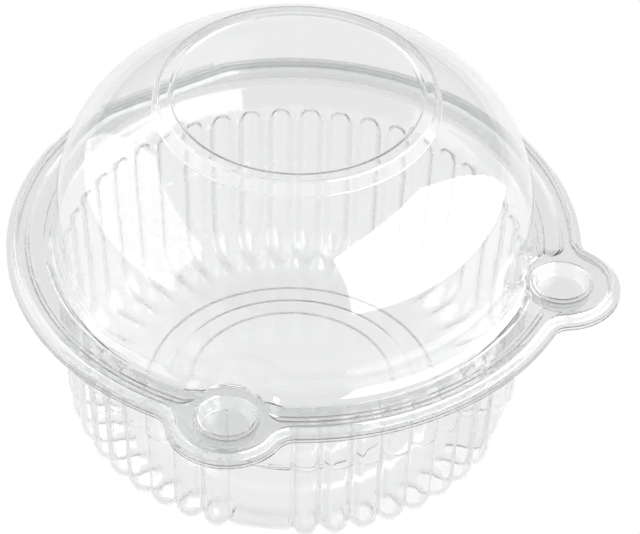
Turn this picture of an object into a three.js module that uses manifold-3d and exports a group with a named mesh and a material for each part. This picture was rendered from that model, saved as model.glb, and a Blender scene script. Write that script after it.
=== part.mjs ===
// A clear single-cake box, thermoformed from thin sheet: a fluted cup and a domed lid
// that closes over it, swings on a straight hinge at the back and snaps shut at two tabs.
// Millimetres, +Z up. The origin is on the table, on the cup's axis. The hinge is at +Y.
import * as THREE from 'three';
import { mergeVertices } from 'three/addons/utils/BufferGeometryUtils.js';
import Module from 'manifold-3d';

const wasm = await Module();
wasm.setup();

// Sheet and fit
const film = 0.35;
const clearance = 0.3;
const nest = film + clearance;

// Rim: a raised bead with a skirt and a small out-turned lip, measured on the lid
const rimHeight = 42;
const rimRadius = 54;
const beadWidth = 2.6;
const beadHeight = 0.9;
const beadSlope = 0.5;
const skirtFlare = 0.5;
const lipDrop = 1.65;
const lipWidth = 1.6;

// Cup
const mouthRadius = 47.1;
const wallTopRadius = 46.3;
const wallFootRadius = 44.4;
const footRounding = 6;
const mouthDepth = 3.4;
const fluteCount = 46;
const fluteDepth = 1.3;
const fluteTopDepth = 6.2;
const fluteArch = 2.4;
const ledgeHeight = 21.5;
const ledgeWidth = 0.6;
const panelFlutes = [4, 5];
const panelLevel = 0.15;

// Floor rings, from the standing ring inwards
const standRingOuter = 32.6;
const standRingInner = 29.6;
const floorStepRun = 0.9;
const middleRingRadius = 24.4;
const middleStep = 1.1;
const centreDiscRadius = 20;
const centreStep = 0.8;

// Lid dome
const domeHeight = 34.8;
const domeFootRadius = 48.4;
const domeWallRadius = 46.1;
const domeCrown = 34.4;
const domePower = 2.97;
const domeFlareHeight = 4;
const topStepRadius = 27.2;
const topDiscRadius = 26.2;
const topDiscStep = 1.3;
const topRecessRadius = 23.4;
const topRecessDepth = 0.5;

// Snap tabs, one each side of the front
const tabAngle = 44.5;
const tabDistance = 52.6;
const tabRadius = 9.8;
const tabFillet = 5;
const tabBayRadius = 7.1;
const tabBayFillet = 3;
const buttonRadius = 5.3;
const buttonDraft = 0.5;
const buttonDepth = 3.0;

// Hinge
const hingeLine = 52.2;
const hingeReach = 3.4;
const hingeHalfAngle = 13.4;
const hingeBlend = 0.6;

const degrees = Math.PI / 180;
const frontAngle = 270 * degrees;
const hingeAngle = 90 * degrees;
const tabAngles = [frontAngle - tabAngle * degrees, frontAngle + tabAngle * degrees];
const lipHeight = rimHeight - lipDrop;
const hingeAxisY = hingeLine + hingeReach;

const clamp = (value, low, high) => Math.min(high, Math.max(low, value));

function smoothStep(low, high, value) {
  const t = clamp((value - low) / (high - low), 0, 1);
  return t * t * (3 - 2 * t);
}

// Signed angle from one azimuth to another, between -180 and 180 degrees
function turn(angle, from) {
  const full = 2 * Math.PI;
  return ((((angle - from + Math.PI) % full) + full) % full) - Math.PI;
}

function nearestTab(angle) {
  return Math.min(...tabAngles.map((tab) => Math.abs(turn(angle, tab))));
}

// Azimuth at which a fillet between two circles leaves the circle round the cup's axis
function filletAngle(axisToFillet, tabToFillet) {
  const top = axisToFillet ** 2 + tabDistance ** 2 - tabToFillet ** 2;
  return Math.acos(clamp(top / (2 * axisToFillet * tabDistance), -1, 1));
}

// Outer edge of the rim, moved out by offset: a circle, two round tabs with fillets, and
// a straight run at the hinge
function outline(angle, offset) {
  const rim = rimRadius + offset;
  const away = nearestTab(angle);
  const centre = rimRadius + tabFillet;
  const leave = filletAngle(centre, tabRadius + tabFillet);
  if (away < leave) {
    const small = tabFillet - offset;
    const tab = tabRadius + offset;
    const share = tab / (tabRadius + tabFillet);
    const joinX = tabDistance + share * (centre * Math.cos(leave) - tabDistance);
    const joinY = share * centre * Math.sin(leave);
    if (away < Math.atan2(joinY, joinX)) {
      const side = tabDistance * Math.sin(away);
      return tabDistance * Math.cos(away) + Math.sqrt(Math.max(tab ** 2 - side ** 2, 0));
    }
    const side = centre * Math.sin(leave - away);
    return centre * Math.cos(leave - away) - Math.sqrt(Math.max(small ** 2 - side ** 2, 0));
  }
  const back = Math.abs(turn(angle, hingeAngle));
  return back < Math.PI / 3 ? Math.min(rim, (hingeLine + offset) / Math.cos(back)) : rim;
}

// Inner edge of the bead, moved out by offset. It bulges inwards round each button.
function beadInner(angle, offset) {
  const inner = rimRadius - beadWidth + offset;
  const away = nearestTab(angle);
  const centre = rimRadius - beadWidth - tabBayFillet;
  const leave = filletAngle(centre, tabBayRadius + tabBayFillet);
  if (away < leave) {
    const bay = tabBayRadius - offset;
    const share = bay / (tabBayRadius + tabBayFillet);
    const joinX = tabDistance + share * (centre * Math.cos(leave) - tabDistance);
    const joinY = share * centre * Math.sin(leave);
    if (away < Math.atan2(joinY, joinX)) {
      const side = tabDistance * Math.sin(away);
      return tabDistance * Math.cos(away) - Math.sqrt(Math.max(bay ** 2 - side ** 2, 0));
    }
    const side = centre * Math.sin(leave - away);
    return centre * Math.cos(leave - away) + Math.sqrt(Math.max((tabBayFillet + offset) ** 2 - side ** 2, 0));
  }
  const back = Math.abs(turn(angle, hingeAngle));
  const line = hingeLine - beadWidth + offset;
  return back < Math.PI / 3 ? Math.min(inner, line / Math.cos(back)) : inner;
}

// Edge of the lip. At the hinge it is the straight leaf that ends just short of the fold,
// which lies at hingeAxisY, halfway between the two lips.
function lipEdge(angle) {
  const back = Math.abs(turn(angle, hingeAngle));
  const lip = outline(angle, lipWidth);
  const leaf = (hingeAxisY - clearance / 2) / Math.cos(Math.min(back, Math.PI / 3));
  const start = hingeHalfAngle * degrees;
  return THREE.MathUtils.lerp(leaf, lip, smoothStep(start, start + hingeBlend * degrees, back));
}

// In front of each button the flange rises to the bead's level
function flangeLift(angle) {
  const leave = filletAngle(rimRadius - beadWidth - tabBayFillet, tabBayRadius + tabBayFillet);
  return beadHeight * (1 - smoothStep(leave * 0.72, leave * 1.08, nearestTab(angle)));
}

// Azimuths from 0 up to a full turn, in order, so that every ring starts at the same side
function inOrder(azimuths) {
  const full = 2 * Math.PI;
  return azimuths.map((angle) => ((angle % full) + full) % full).sort((a, b) => a - b);
}

// Azimuths of the rim's sections: close together round the tabs and at the hinge's ends
function rimAzimuths() {
  const leave = filletAngle(rimRadius + tabFillet, tabRadius + tabFillet);
  const tabSteps = [0.2, 0.38, 0.54, 0.65, 0.72, 0.79, 0.88, 1].map((share) => share * leave);
  const marks = [hingeAngle];
  for (const tab of tabAngles) {
    marks.push(tab, ...tabSteps.flatMap((step) => [tab - step, tab + step]));
  }
  const hingeMarks = [hingeHalfAngle / 2, hingeHalfAngle, hingeHalfAngle + hingeBlend, hingeHalfAngle + 3];
  marks.push(...hingeMarks.flatMap((step) => [hingeAngle - step * degrees, hingeAngle + step * degrees]));
  marks.sort((a, b) => a - b);
  const widest = 6 * degrees;
  const filled = marks.flatMap((mark, i) => {
    const next = i + 1 < marks.length ? marks[i + 1] : marks[0] + 2 * Math.PI;
    const count = Math.max(1, Math.ceil((next - mark) / widest - 0.01));
    return Array.from({ length: count }, (_, k) => mark + ((next - mark) * k) / count);
  });
  return inOrder(filled);
}

function evenAzimuths(count) {
  return inOrder(Array.from({ length: count }, (_, i) => frontAngle + (2 * Math.PI * i) / count));
}

// One closed ring of the sheet's upper skin: place(angle) gives its radius and height
function ring(azimuths, place) {
  return azimuths.map((angle) => {
    const [radius, height] = place(angle);
    return { angle, point: new THREE.Vector3(radius * Math.cos(angle), radius * Math.sin(angle), height) };
  });
}

// Triangles between two rings, which may have different numbers of points
function stitch(inner, outer, innerStart, outerStart, triangles) {
  const angleAt = (list, i) => list[i % list.length].angle + (i >= list.length ? 2 * Math.PI : 0);
  let i = 0;
  let j = 0;
  while (i < inner.length || j < outer.length) {
    const a = innerStart + (i % inner.length);
    const b = outerStart + (j % outer.length);
    const innerNext = angleAt(inner, i + 1);
    const outerNext = angleAt(outer, j + 1);
    if (j < outer.length && (i >= inner.length || outerNext <= innerNext + 1e-9)) {
      triangles.push([a, b, outerStart + ((j + 1) % outer.length)]);
      j += 1;
    } else {
      triangles.push([a, b, innerStart + ((i + 1) % inner.length)]);
      i += 1;
    }
  }
}

// Direction and length by which each point moves so that the sheet keeps its thickness
function sheetOffsets(points, triangles, thickness) {
  const sums = points.map(() => new THREE.Vector3());
  const faceNormals = triangles.map(([a, b, c]) => {
    const ab = points[b].clone().sub(points[a]);
    const ac = points[c].clone().sub(points[a]);
    return ab.cross(ac).normalize();
  });
  triangles.forEach((corners, f) => {
    corners.forEach((corner, k) => {
      const u = points[corners[(k + 1) % 3]].clone().sub(points[corner]);
      const v = points[corners[(k + 2) % 3]].clone().sub(points[corner]);
      sums[corner].addScaledVector(faceNormals[f], u.angleTo(v));
    });
  });
  const normals = sums.map((sum) => sum.normalize());
  const closest = points.map(() => 1);
  triangles.forEach((corners, f) => {
    for (const corner of corners) {
      closest[corner] = Math.min(closest[corner], normals[corner].dot(faceNormals[f]));
    }
  });
  return normals.map((normal, i) => normal.multiplyScalar(thickness / Math.max(closest[i], 0.6)));
}

// A closed shell of the sheet: its upper skin from the pole out to the last ring, the same
// skin one thickness below, and the cut edge between them
function sheetSolid(poleHeight, rings) {
  const points = [new THREE.Vector3(0, 0, poleHeight)];
  const starts = rings.map((list) => {
    const start = points.length;
    points.push(...list.map((entry) => entry.point));
    return start;
  });
  const triangles = rings[0].map((_, i) => [0, starts[0] + i, starts[0] + ((i + 1) % rings[0].length)]);
  for (let k = 0; k + 1 < rings.length; k += 1) {
    stitch(rings[k], rings[k + 1], starts[k], starts[k + 1], triangles);
  }
  const offsets = sheetOffsets(points, triangles, film);
  const count = points.length;
  const below = points.map((point, i) => point.clone().sub(offsets[i]));
  below.forEach((point) => point.setZ(Math.max(point.z, 0)));
  const all = [...points, ...below];
  const under = triangles.map(([a, b, c]) => [a + count, c + count, b + count]);
  const edge = [];
  const last = rings.length - 1;
  for (let i = 0; i < rings[last].length; i += 1) {
    const a = starts[last] + i;
    const b = starts[last] + ((i + 1) % rings[last].length);
    edge.push([a, a + count, b + count], [a, b + count, b]);
  }
  return toSolid(all, [...triangles, ...under, ...edge]);
}

function toSolid(points, triangles) {
  return new wasm.Manifold(new wasm.Mesh({
    numProp: 3,
    vertProperties: new Float32Array(points.flatMap((point) => [point.x, point.y, point.z])),
    triVerts: new Uint32Array(triangles.flat()),
  }));
}

// A solid of revolution about a vertical line, from an outline of [radius, height] pairs
function latheSolid(outlinePoints, x, y, segments = 24) {
  const profile = outlinePoints.map(([radius, height]) => new THREE.Vector2(radius, height));
  let geometry = new THREE.LatheGeometry(profile, segments);
  geometry.rotateX(Math.PI / 2).translate(x, y, 0);
  geometry.deleteAttribute('normal');
  geometry.deleteAttribute('uv');
  geometry = mergeVertices(geometry, 1e-4);
  return new wasm.Manifold(new wasm.Mesh({
    numProp: 3,
    vertProperties: new Float32Array(geometry.attributes.position.array),
    triVerts: new Uint32Array(geometry.index.array),
  }));
}

// The pocket pressed into each tab, sunk from the level top, with its mouth radius
function addPockets(solid, top, mouth) {
  const bottom = mouth - buttonDraft;
  const inset = film * 0.15;
  const wall = [
    [0, top - buttonDepth - film],
    [bottom + film, top - buttonDepth - film],
    [mouth + film, top - inset],
    [mouth, top - inset],
    [bottom, top - buttonDepth],
    [0, top - buttonDepth],
  ];
  const hole = mouth + film / 2;
  const drill = [[0, top - film * 1.6], [hole, top - film * 1.6], [hole, top + film], [0, top + film]];
  for (const tab of tabAngles) {
    const x = tabDistance * Math.cos(tab);
    const y = tabDistance * Math.sin(tab);
    solid = solid.subtract(latheSolid(drill, x, y)).add(latheSolid(wall, x, y));
  }
  return solid;
}

function toMesh(solid, name, color) {
  const { vertProperties, triVerts, numProp } = solid.getMesh();
  const positions = new Float32Array((vertProperties.length / numProp) * 3);
  for (let i = 0; i < positions.length / 3; i += 1) {
    positions.set(vertProperties.slice(i * numProp, i * numProp + 3), i * 3);
  }
  const geometry = new THREE.BufferGeometry();
  geometry.setAttribute('position', new THREE.BufferAttribute(positions, 3));
  geometry.setIndex(new THREE.BufferAttribute(new Uint32Array(triVerts), 1));
  geometry.computeVertexNormals();
  const material = new THREE.MeshStandardMaterial({
    color, roughness: 0.06, metalness: 0, transparent: true, opacity: 0.35,
  });
  const mesh = new THREE.Mesh(geometry, material);
  mesh.name = name;
  return mesh;
}

// How far a flute stands out at this azimuth: 0 at the ridge between two flutes, 1 at its crest
function fluteShape(angle) {
  const pitch = (2 * Math.PI) / fluteCount;
  const place = Math.abs(turn(angle, frontAngle)) / pitch;
  const flute = Math.floor(place + 1e-6);
  if (panelFlutes.includes(flute) || (panelFlutes.includes(flute - 1) && place - flute < 1e-6)) {
    return panelLevel;
  }
  return Math.sin(Math.PI * (place - Math.floor(place))) ** 0.7;
}

// Cup wall at the flutes' crests: rounded foot, lower wall, a narrow ledge, upper wall
function wallRadius(height) {
  const slope = (wallTopRadius - ledgeWidth - wallFootRadius) / (rimHeight - mouthDepth - footRounding);
  const ledge = ledgeWidth * smoothStep(ledgeHeight, ledgeHeight + ledgeWidth * 1.5, height);
  return wallFootRadius + slope * (height - footRounding) + ledge;
}

// The cup's mouth and the wall under it stay clear of the pockets in the tabs
function clearOfPocket(angle, radius) {
  return Math.min(radius, beadInner(angle, nest));
}

function baseTray() {
  const floor = film;
  const few = evenAzimuths(fluteCount);
  const many = evenAzimuths(fluteCount * 3);
  const rim = rimAzimuths();
  const centreTop = floor + middleStep + centreStep;
  const flat = (radius, height) => ring(few, () => [radius, height]);
  const fluted = (radius, height, depth, lean = 0) => ring(many, (angle) => {
    const inset = depth * (1 - fluteShape(angle));
    return [radius - inset * Math.cos(lean), height + inset * Math.sin(lean)];
  });
  const corner = (lean) => fluted(
    wallFootRadius - footRounding * (1 - Math.cos(lean)),
    floor + footRounding * (1 - Math.sin(lean)),
    fluteDepth,
    lean,
  );
  const fluteTop = rimHeight - fluteTopDepth;
  const flangeTop = rimHeight - beadHeight - nest;
  const beadTop = rimHeight - nest;
  const rings = [
    flat(centreDiscRadius, centreTop),
    flat(centreDiscRadius + floorStepRun, centreTop - centreStep),
    flat(middleRingRadius, centreTop - centreStep),
    flat(standRingInner - floorStepRun, centreTop - centreStep),
    flat(standRingInner, floor),
    flat(standRingOuter, floor),
    fluted(wallFootRadius - footRounding, floor, fluteDepth * 0.8, Math.PI / 2),
    corner(Math.PI / 3),
    corner(Math.PI / 6),
    corner(0),
    fluted(wallRadius(ledgeHeight), ledgeHeight, fluteDepth),
    fluted(wallRadius(ledgeHeight + ledgeWidth * 1.5), ledgeHeight + ledgeWidth * 1.5, fluteDepth),
    fluted(wallRadius(fluteTop - fluteArch), fluteTop - fluteArch, fluteDepth),
    fluted(wallRadius(fluteTop), fluteTop, 0),
    ring(rim, (angle) => [
      clearOfPocket(angle, wallRadius(rimHeight - mouthDepth)),
      rimHeight - mouthDepth,
    ]),
    ring(rim, (angle) => [clearOfPocket(angle, mouthRadius), flangeTop + flangeLift(angle)]),
    ring(rim, (angle) => [
      Math.max(beadInner(angle, nest - beadSlope), clearOfPocket(angle, mouthRadius) + film),
      flangeTop + flangeLift(angle),
    ]),
    ring(rim, (angle) => [
      Math.max(beadInner(angle, nest), clearOfPocket(angle, mouthRadius) + 2 * film),
      beadTop,
    ]),
    ring(rim, (angle) => [outline(angle, -nest), beadTop]),
    ring(rim, (angle) => [outline(angle, skirtFlare - nest), lipHeight - nest]),
    ring(rim, (angle) => [lipEdge(angle), lipHeight - nest]),
  ];
  return addPockets(sheetSolid(centreTop, rings), beadTop, buttonRadius + nest);
}

// Dome wall: flared at its foot, then a rounded crown
function domeRadius(height) {
  const crown = domeWallRadius * (1 - (clamp(height, 0, domeCrown) / domeCrown) ** domePower) ** (1 / domePower);
  const flare = clamp(1 - height / domeFlareHeight, 0, 1);
  return crown + (domeFootRadius - domeWallRadius) * flare ** 2.2;
}

function domeHeightAt(radius) {
  return domeCrown * (1 - (radius / domeWallRadius) ** domePower) ** (1 / domePower);
}

function lidDome() {
  const even = evenAzimuths(60);
  const rim = rimAzimuths();
  const top = rimHeight + domeHeight;
  const stepFoot = rimHeight + domeHeightAt(topStepRadius);
  const flat = (radius, height) => ring(even, () => [radius, height]);
  const crownShare = [0.95, 0.87, 0.76, 0.63, 0.48];
  const crownRings = crownShare.map((share) => {
    const height = (stepFoot - rimHeight) * share;
    return flat(domeRadius(height), rimHeight + height);
  });
  const bay = (angle, height) => beadInner(angle, -clearance - height * 0.1);
  const footRing = (height) => ring(rim, (angle) => [
    Math.min(domeRadius(height), bay(angle, height)),
    rimHeight + height - (beadHeight - flangeLift(angle)) * (1 - height / domeFlareHeight),
  ]);
  const flangeTop = (angle) => rimHeight - beadHeight + flangeLift(angle);
  const rings = [
    flat(topRecessRadius, top - topRecessDepth),
    flat(topRecessRadius + topRecessDepth, top),
    flat(topDiscRadius - topRecessDepth, top),
    flat(topDiscRadius, top - topRecessDepth),
    flat(topStepRadius, Math.min(stepFoot, top - topDiscStep)),
    ...crownRings,
    footRing(domeFlareHeight),
    footRing(domeFlareHeight * 0.4),
    footRing(domeFlareHeight * 0.15),
    ring(rim, (angle) => [Math.min(domeFootRadius, beadInner(angle, -clearance)), flangeTop(angle)]),
    ring(rim, (angle) => [
      beadInner(angle, -beadSlope * (1 - 0.8 * flangeLift(angle) / beadHeight)),
      flangeTop(angle),
    ]),
    ring(rim, (angle) => [beadInner(angle, 0), rimHeight]),
    ring(rim, (angle) => [outline(angle, 0), rimHeight]),
    ring(rim, (angle) => [outline(angle, skirtFlare), lipHeight]),
    ring(rim, (angle) => [lipEdge(angle), lipHeight]),
  ];
  return addPockets(sheetSolid(top - topRecessDepth, rings), rimHeight, buttonRadius);
}

const clearSheet = 0xeef0f0;
const box = new THREE.Group();
box.add(toMesh(baseTray(), 'base_tray', clearSheet));
box.add(toMesh(lidDome(), 'lid_dome', clearSheet));

export default box;
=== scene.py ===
# %% [markdown]
# # A clear box for one cake
#
# The box is formed from one thin sheet of clear plastic. It has a fluted cup with a
# stepped floor, and a domed lid with a flat disc on top. The two halves share a flat rim,
# a straight hinge at the back and two round snap tabs at the front.
#
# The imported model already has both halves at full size, in metres, with +Z up and the
# hinge at +Y. This lesson builds a finer sheet for each half, in the same places, then a
# clear material, two soft boxes and a camera.

import math

import bmesh
import bpy
import numpy as np
from mathutils import Matrix, Vector
from mathutils.geometry import delaunay_2d_cdt


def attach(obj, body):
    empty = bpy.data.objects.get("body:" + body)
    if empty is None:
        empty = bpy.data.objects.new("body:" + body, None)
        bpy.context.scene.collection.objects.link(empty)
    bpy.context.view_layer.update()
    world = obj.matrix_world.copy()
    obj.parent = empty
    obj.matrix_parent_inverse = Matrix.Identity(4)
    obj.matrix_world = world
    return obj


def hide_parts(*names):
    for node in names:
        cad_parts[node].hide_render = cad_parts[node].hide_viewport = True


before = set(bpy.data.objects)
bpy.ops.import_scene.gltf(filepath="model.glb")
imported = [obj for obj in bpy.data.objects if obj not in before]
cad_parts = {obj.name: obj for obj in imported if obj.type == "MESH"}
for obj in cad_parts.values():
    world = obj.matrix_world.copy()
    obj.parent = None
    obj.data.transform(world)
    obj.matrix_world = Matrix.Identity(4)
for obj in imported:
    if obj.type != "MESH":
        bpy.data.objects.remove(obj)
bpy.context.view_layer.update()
scene = bpy.context.scene

# %% [markdown]
# ## The camera
#
# The photograph was taken with a long lens from about 41 degrees above the table, a
# little to the left of the front. The box is near enough for the far rim to look smaller
# than the near one, so both the distance and the lens matter. They were solved from the
# rim, the tabs and the floor rings. The middle of the picture lies below and left of the
# point that the lens looks at, so the camera has a small shift. Lengths are in metres
# here, and plain angles are in radians.

# %% Place the camera
PICTURE_WIDTH = 640
PICTURE_HEIGHT = 534
SENSOR_WIDTH = 36.0
FOCAL_PIXELS = 3500.0
LENS_CENTRE_X = 338.95
LENS_CENTRE_Y = 232.41
CAMERA_ELEVATION = 0.7179
CAMERA_ROLL = 0.0313
CAMERA_DISTANCE = 0.6765
CAMERA_SIDESTEP = 0.00857
FRONT_TURN = math.radians(32.6)
AIM_HEIGHT = 0.042
NEAREST_SEEN = 0.05
FARTHEST_SEEN = 20


def turned_to_model(vector):
    """Turns a vector from the photograph's own front to the box's front."""
    cosine = math.cos(FRONT_TURN)
    sine = math.sin(FRONT_TURN)
    return Vector((
        vector.x * cosine + vector.y * sine,
        -vector.x * sine + vector.y * cosine,
        vector.z,
    ))


forward = Vector((0, math.cos(CAMERA_ELEVATION), -math.sin(CAMERA_ELEVATION)))
level_right = Vector((1, 0, 0))
level_up = level_right.cross(forward)
rolled_right = math.cos(CAMERA_ROLL) * level_right + math.sin(CAMERA_ROLL) * level_up
rolled_up = -math.sin(CAMERA_ROLL) * level_right + math.cos(CAMERA_ROLL) * level_up
camera_place = Vector((CAMERA_SIDESTEP, 0, 0)) - CAMERA_DISTANCE * forward

axis_right = turned_to_model(rolled_right)
axis_up = turned_to_model(rolled_up)
axis_back = turned_to_model(-forward)
camera_data = bpy.data.cameras.new("camera")
camera = bpy.data.objects.new("camera", camera_data)
scene.collection.objects.link(camera)
turned_place = turned_to_model(camera_place)
camera.matrix_world = Matrix((
    (axis_right.x, axis_up.x, axis_back.x, turned_place.x),
    (axis_right.y, axis_up.y, axis_back.y, turned_place.y),
    (axis_right.z, axis_up.z, axis_back.z, turned_place.z + AIM_HEIGHT),
    (0, 0, 0, 1),
))
camera_data.sensor_width = SENSOR_WIDTH
camera_data.lens = FOCAL_PIXELS / PICTURE_WIDTH * SENSOR_WIDTH
camera_data.shift_x = (PICTURE_WIDTH / 2 - LENS_CENTRE_X) / PICTURE_WIDTH
camera_data.shift_y = (LENS_CENTRE_Y - PICTURE_HEIGHT / 2) / PICTURE_WIDTH
camera_data.clip_start = NEAREST_SEEN
camera_data.clip_end = FARTHEST_SEEN
scene.camera = camera
print("camera at", tuple(round(value, 3) for value in camera.location))

# %% [markdown]
# ## A white table and a grey room
#
# Clear plastic has no colour of its own to show. It is seen by what it reflects and
# bends: a white table that fades to nothing, a darker room that draws the edges, and the
# bright windows of two soft boxes. So the surroundings matter here as much as the
# material.
#
# The table and the low wall round it are white paper. Light Path makes them plain white
# to the camera and through the plastic, and adds a share of that white to what the gloss
# mirrors. The paint itself still takes the light, and in front of the box its colour is
# painted darker, a painted shade that gives the gloss something darker to mirror. Above
# the wall, the room is dim grey.

# %% Set the view and build the table and the wall
scene.view_settings.view_transform = "Standard"

TABLE_RADIUS = 6.0
TABLE_POINTS = 96
WALL_HEIGHT = 0.5
TABLE_DROP = 0.0001
TABLE_WHITE = (0.85, 0.85, 0.85, 1)
# Painted shade: the paper's paint turns this dark on the camera's side of the box.
PAINTED_SHADE_WHITE = (0.25, 0.25, 0.25, 1)
SHADE_START = 0.09
SHADE_END = 0.15
BACKDROP_WHITE = (1.0, 1.0, 1.0, 1)
BACKDROP_GLOW = 1.0
GLOSS_SHARE = 0.2


def white_paper():
    """White paper, plain white to the camera and through plastic, less so in gloss, where its
    paint has painted shade in front of the box.
    """
    material = bpy.data.materials.new("white_paper")
    material.use_nodes = True
    nodes = material.node_tree.nodes
    links = material.node_tree.links
    nodes.clear()
    place = nodes.new("ShaderNodeNewGeometry")
    frontwards = nodes.new("ShaderNodeVectorMath")
    frontwards.operation = "DOT_PRODUCT"
    frontwards.inputs[1].default_value = turned_to_model(Vector((0, -1, 0)))
    into_painted_shade = nodes.new("ShaderNodeMapRange")
    into_painted_shade.inputs["From Min"].default_value = SHADE_START
    into_painted_shade.inputs["From Max"].default_value = SHADE_END
    # The paint is mixed darker in front of the box, a painted shade for the gloss to mirror.
    paint_colour = nodes.new("ShaderNodeMix")
    paint_colour.data_type = "RGBA"
    paint_colour.inputs["A"].default_value = TABLE_WHITE
    paint_colour.inputs["B"].default_value = PAINTED_SHADE_WHITE
    paint = nodes.new("ShaderNodeBsdfDiffuse")
    links.new(place.outputs["Position"], frontwards.inputs[0])
    links.new(frontwards.outputs["Value"], into_painted_shade.inputs["Value"])
    links.new(into_painted_shade.outputs["Result"], paint_colour.inputs["Factor"])
    links.new(paint_colour.outputs["Result"], paint.inputs["Color"])

    light_path = nodes.new("ShaderNodeLightPath")
    seen_or_through = nodes.new("ShaderNodeMath")
    seen_or_through.operation = "ADD"
    with_gloss = nodes.new("ShaderNodeMath")
    with_gloss.operation = "MULTIPLY_ADD"
    with_gloss.inputs[1].default_value = GLOSS_SHARE
    links.new(light_path.outputs["Is Transmission Ray"], seen_or_through.inputs[0])
    links.new(light_path.outputs["Is Camera Ray"], seen_or_through.inputs[1])
    links.new(light_path.outputs["Is Glossy Ray"], with_gloss.inputs[0])
    links.new(seen_or_through.outputs[0], with_gloss.inputs[2])

    glow = nodes.new("ShaderNodeEmission")
    glow.inputs["Color"].default_value = BACKDROP_WHITE
    glow.inputs["Strength"].default_value = BACKDROP_GLOW
    mix = nodes.new("ShaderNodeMixShader")
    output = nodes.new("ShaderNodeOutputMaterial")
    links.new(with_gloss.outputs[0], mix.inputs[0])
    links.new(paint.outputs[0], mix.inputs[1])
    links.new(glow.outputs[0], mix.inputs[2])
    links.new(mix.outputs[0], output.inputs["Surface"])
    return material


paper = white_paper()
bpy.ops.mesh.primitive_circle_add(
    vertices=TABLE_POINTS, radius=TABLE_RADIUS, fill_type="NGON"
)
table_top = bpy.context.object
table_top.name = "table_top"
table_top.location.z = -TABLE_DROP
bpy.ops.mesh.primitive_cylinder_add(
    vertices=TABLE_POINTS, radius=TABLE_RADIUS, depth=WALL_HEIGHT, end_fill_type="NOTHING"
)
low_wall = bpy.context.object
low_wall.name = "low_wall"
low_wall.location.z = WALL_HEIGHT / 2 - TABLE_DROP
for piece in (table_top, low_wall):
    piece.data.materials.append(paper)
print("table radius", TABLE_RADIUS, "m, wall", WALL_HEIGHT, "m high")

# %% Light the room
ROOM_GREY = (0.27, 0.27, 0.27, 1)


def grey_room():
    """A dim room whose far side looks plain white to the camera."""
    world = bpy.data.worlds.new("grey_room")
    scene.world = world
    world.use_nodes = True
    nodes = world.node_tree.nodes
    links = world.node_tree.links
    room = nodes["Background"]
    room.inputs["Color"].default_value = ROOM_GREY
    far_side = nodes.new("ShaderNodeBackground")
    far_side.inputs["Color"].default_value = BACKDROP_WHITE
    far_side.inputs["Strength"].default_value = BACKDROP_GLOW
    light_path = nodes.new("ShaderNodeLightPath")
    mix = nodes.new("ShaderNodeMixShader")
    links.new(light_path.outputs["Is Camera Ray"], mix.inputs[0])
    links.new(room.outputs[0], mix.inputs[1])
    links.new(far_side.outputs[0], mix.inputs[2])
    links.new(mix.outputs[0], nodes["World Output"].inputs["Surface"])
    return world


grey_room()
print("room grey", ROOM_GREY[0], "and its far side", BACKDROP_WHITE[0])

# %% Hang the two soft boxes
SOFT_BOX_DISTANCE = 0.75
SOFT_BOX_BOTTOM = 0.04
SOFT_BOXES = {
    "left_box": {"azimuth": math.radians(145), "width": 1.26, "top": 1.04, "radiance": 1.3},
    "right_box": {"azimuth": math.radians(-50), "width": 1.6, "top": 1.54, "radiance": 3.2},
}


def soft_box(name, azimuth, width, top, radiance):
    """An upright rectangular lamp that faces the box. Radiance is how bright it looks."""
    height = top - SOFT_BOX_BOTTOM
    data = bpy.data.lights.new(name, "AREA")
    data.shape = "RECTANGLE"
    data.size = width
    data.size_y = height
    data.energy = radiance * math.pi * width * height
    lamp = bpy.data.objects.new(name, data)
    scene.collection.objects.link(lamp)
    outwards = Vector((math.cos(azimuth), math.sin(azimuth), 0))
    middle_height = (top + SOFT_BOX_BOTTOM) / 2
    lamp.location = outwards * SOFT_BOX_DISTANCE + Vector((0, 0, middle_height))
    lamp.rotation_mode = "QUATERNION"
    lamp.rotation_quaternion = outwards.to_track_quat("Z", "Y")
    lamp.visible_camera = False
    return lamp


lamps = [soft_box(name, **sizes) for name, sizes in SOFT_BOXES.items()]
print("lamps:", [lamp.name for lamp in lamps])

# %% Let light bounce often enough between the sheets
SHEET_BOUNCES = 48
STRAIGHT_BOUNCES = 32
scene.cycles.max_bounces = SHEET_BOUNCES
scene.cycles.transmission_bounces = SHEET_BOUNCES
scene.cycles.glossy_bounces = SHEET_BOUNCES
scene.cycles.transparent_max_bounces = STRAIGHT_BOUNCES
print("bounces:", scene.cycles.max_bounces)

# %% [markdown]
# ## Clear sheet
#
# The plastic is a clear, glossy sheet a third of a millimetre thick. Forming it over a
# warm mould leaves it very slightly wavy, which is why straight things seen through it
# wobble. The sheets are closed solids here, so a shader with full transmission bends
# light at both skins, as the real sheet does.
#
# Seen at a slant, light goes a longer way through the plastic and loses more on the way.
# Layer Weight's Facing drives that in the colour. The fluted cup looks far greyer at a
# slant than the smooth lid, so each half has its own slant tint. The cup's grey is far
# more than that loss alone gives, so it is partly painted shade.
#
# A soft, wide noise drives a weak bump for the waves, and a finer one roughens the gloss
# a little in places, like handling marks. Lamps shine through clear film nearly undimmed,
# so shadow rays are let through with a light tint.

# %% Mix the clear sheet
SHEET_IOR = 1.57
SHEET_TINT = (0.965, 0.968, 0.97, 1)
# Slant colours: partly loss on the longer way through the plastic, partly painted shade.
BASE_SLANT_TINT_AND_SHADE = (0.58, 0.59, 0.6, 1)
LID_SLANT_TINT_AND_SHADE = (0.97, 0.972, 0.975, 1)
SLANT_BLEND = 0.5
SLANT_POWER = 2.0
SHADOW_TINT = (0.93, 0.93, 0.93, 1)
SHEET_ROUGHNESS = 0.02
MARKED_ROUGHNESS = 0.05
WAVE_SCALE = 90.0
WAVE_DETAIL = 1.5
WAVE_STRENGTH = 0.5
WAVE_HEIGHT = 0.00002
MARK_SCALE = 900.0
MARK_DETAIL = 3.0
MARK_START = 0.35
MARK_END = 0.75


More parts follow.
